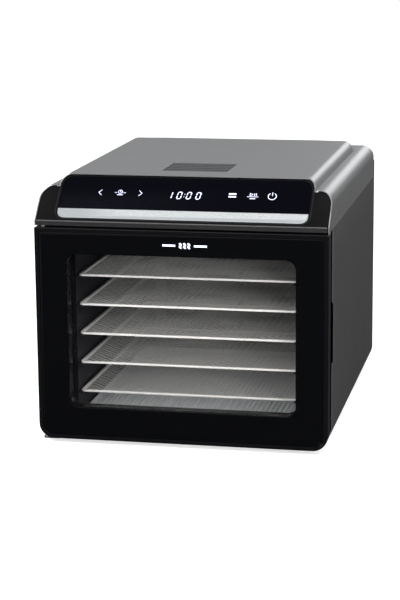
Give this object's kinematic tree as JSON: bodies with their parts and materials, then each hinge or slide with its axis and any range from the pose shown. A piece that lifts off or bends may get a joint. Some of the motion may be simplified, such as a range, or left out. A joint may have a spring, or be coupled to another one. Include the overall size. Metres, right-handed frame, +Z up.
{
  "type": "food dehydrator",
  "caption": "Boxy food dehydrator with a glazed side-hinged door, sliding mesh trays, sloping touch console, domed vented hood and a rear fan and heater.",
  "frame": {"origin": "on the table under the middle of the body", "axes": "+Z up, +Y to the back of the machine, +X to the right seen from the front; the door faces -Y"},
  "size_m": [0.345, 0.45, 0.316],
  "materials": {
    "hood_metal": "satin, fine brushed grain, dark grey tint",
    "panel_paint": "satin dark grey, fine texture",
    "black_plastic": "fine moulded texture",
    "dark_plastic": "smooth",
    "vent_plastic": "smooth satin",
    "door_black": "gloss black",
    "door_glass": "gloss glass with a black enamel border",
    "clear_glass": "clear",
    "control_glass": "gloss, near black",
    "display_light": "lit from behind",
    "strip_aluminium": "brushed lengthwise",
    "liner_steel": "fine brushed",
    "zinc_steel": "zinc plated",
    "bright_steel": "polished",
    "hinge_steel": "black painted",
    "motor_steel": "dark oxide",
    "heater_steel": "heat darkened",
    "tray_steel": "polished wire",
    "tray_aluminium": "satin, ribbed",
    "fan_aluminium": "stamped sheet",
    "circuit_board": "solder mask",
    "ceramic": "glazed",
    "wire_sleeve": "woven sleeve",
    "seal_rubber": "matte silicone",
    "foot_rubber": "matte",
    "screw_steel": "black zinc"
  },
  "bodies": {
    "housing": {"base_pan": "zinc_steel", "bottom_hinge_pin": "bright_steel", "bottom_hinge_plate": "hinge_steel", "chamber_ceiling": "liner_steel", "chamber_floor": "liner_steel", "control_fascia": "black_plastic", "control_glass": "control_glass", "display_module": "dark_plastic", "door_seal": "seal_rubber", "exhaust_duct": "zinc_steel", "fan_motor": "motor_steel", "foot_front_left": "foot_rubber", "foot_front_right": "foot_rubber", "foot_rear_left": "foot_rubber", "foot_rear_right": "foot_rubber", "front_frame": "black_plastic", "heater_clip_left": "ceramic", "heater_clip_right": "ceramic", "heater_coil": "heater_steel", "hood": "hood_metal", "latch_magnet": "motor_steel", "left_liner": "liner_steel", "left_side_panel": "panel_paint", "mains_inlet": "dark_plastic", "motor_bracket": "zinc_steel", "motor_wall": "zinc_steel", "power_board": "circuit_board", "rear_baffle": "liner_steel", "rear_cover": "black_plastic", "rear_screw_left_1": "screw_steel", "rear_screw_left_2": "screw_steel", "rear_screw_left_3": "screw_steel", "rear_screw_right_1": "screw_steel", "rear_screw_right_2": "screw_steel", "rear_screw_right_3": "screw_steel", "right_liner": "liner_steel", "right_side_panel": "panel_paint", "temperature_sensor": "bright_steel", "thermal_cutout": "dark_plastic", "top_hinge_pin": "bright_steel", "top_hinge_plate": "hinge_steel", "touch_board": "circuit_board", "trim_strip": "strip_aluminium", "vent_grille": "vent_plastic", "wiring_harness": "wire_sleeve"},
    "door": {"door_frame": "door_black", "door_glass": "door_glass", "inner_pane": "clear_glass", "strike_plate": "bright_steel"},
    "fan": {"fan_blade": "fan_aluminium", "fan_shaft": "bright_steel"},
    "drip_tray": {"drip_tray": "tray_aluminium"},
    "tray_1": {"tray_1": "tray_steel"},
    "tray_2": {"tray_2": "tray_steel"},
    "tray_3": {"tray_3": "tray_steel"},
    "tray_4": {"tray_4": "tray_steel"},
    "tray_5": {"tray_5": "tray_steel"}
  },
  "joints": [
    {"name": "door_hinge", "type": "hinge", "parent": "housing", "child": "door", "pos_m": [-0.1645, -0.215, 0], "axis": [0, 0, -1], "range_deg": [0, 110]},
    {"name": "fan_spin", "type": "hinge", "parent": "housing", "child": "fan", "pos_m": [0, 0.1735, 0.1335], "axis": [0, 1, 0], "continuous": true},
    {"name": "drip_tray_slide", "type": "slide", "parent": "housing", "child": "drip_tray", "axis": [0, -1, 0], "range_m": [0, 0.116]},
    {"name": "tray_1_slide", "type": "slide", "parent": "housing", "child": "tray_1", "axis": [0, -1, 0], "range_m": [0, 0.112]},
    {"name": "tray_2_slide", "type": "slide", "parent": "housing", "child": "tray_2", "axis": [0, -1, 0], "range_m": [0, 0.095]},
    {"name": "tray_3_slide", "type": "slide", "parent": "housing", "child": "tray_3", "axis": [0, -1, 0], "range_m": [0, 0.077]},
    {"name": "tray_4_slide", "type": "slide", "parent": "housing", "child": "tray_4", "axis": [0, -1, 0], "range_m": [0, 0.06]},
    {"name": "tray_5_slide", "type": "slide", "parent": "housing", "child": "tray_5", "axis": [0, -1, 0], "range_m": [0, 0.043]}
  ],
  "couplings": [
    {"joint": "drip_tray_slide", "follows": "door_hinge", "m_per_rad": 0.06},
    {"joint": "tray_1_slide", "follows": "door_hinge", "m_per_rad": 0.058},
    {"joint": "tray_2_slide", "follows": "door_hinge", "m_per_rad": 0.049},
    {"joint": "tray_3_slide", "follows": "door_hinge", "m_per_rad": 0.04},
    {"joint": "tray_4_slide", "follows": "door_hinge", "m_per_rad": 0.031},
    {"joint": "tray_5_slide", "follows": "door_hinge", "m_per_rad": 0.022}
  ]
}
